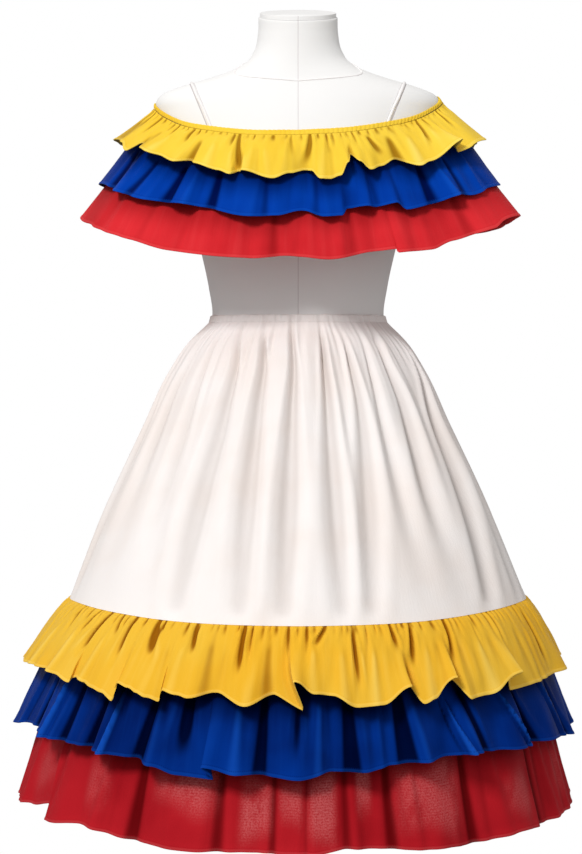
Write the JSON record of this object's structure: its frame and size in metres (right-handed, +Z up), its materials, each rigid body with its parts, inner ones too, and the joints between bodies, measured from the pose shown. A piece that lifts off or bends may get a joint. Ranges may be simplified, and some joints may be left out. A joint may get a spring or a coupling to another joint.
{
  "type": "two-piece ruffled off-shoulder dress on a dress form",
  "caption": "Off-the-shoulder top with layered ruffles and a gathered skirt with layered ruffles at its hem, worn on a limbless dress form with a flat round stand.",
  "frame": {"origin": "centre of the stand's flat underside, on the floor", "axes": "+Z up, the front of the dress faces -Y, the wearer's left side is at +X"},
  "size_m": [0.8084, 0.7784, 1.4894],
  "materials": {
    "yellow_crepe": "soft satin crepe",
    "blue_crepe": "soft satin crepe",
    "red_crepe": "thin crinkled crepe",
    "cream_crepe": "soft satin crepe",
    "form_cover": "tight plain-weave cover",
    "stand_metal": "brushed"
  },
  "bodies": {
    "root": {"skirt_panel_front": "cream_crepe", "skirt_panel_back": "cream_crepe", "skirt_waist_casing_front": "cream_crepe", "skirt_waist_casing_back": "cream_crepe", "skirt_ruffle_yellow_front": "yellow_crepe", "skirt_ruffle_yellow_back": "yellow_crepe", "skirt_ruffle_blue_front": "blue_crepe", "skirt_ruffle_blue_back": "blue_crepe", "skirt_ruffle_red_front": "red_crepe", "skirt_ruffle_red_back": "red_crepe", "top_neck_casing_front": "yellow_crepe", "top_neck_casing_back": "yellow_crepe", "top_ruffle_yellow_front": "yellow_crepe", "top_ruffle_yellow_back": "yellow_crepe", "top_ruffle_blue_front": "blue_crepe", "top_ruffle_blue_back": "blue_crepe", "top_ruffle_red_front": "red_crepe", "top_ruffle_red_back": "red_crepe", "form_body": "form_cover", "form_neck_cap": "form_cover", "stand_pole": "stand_metal", "stand_base": "stand_metal"}
  },
  "joints": []
}
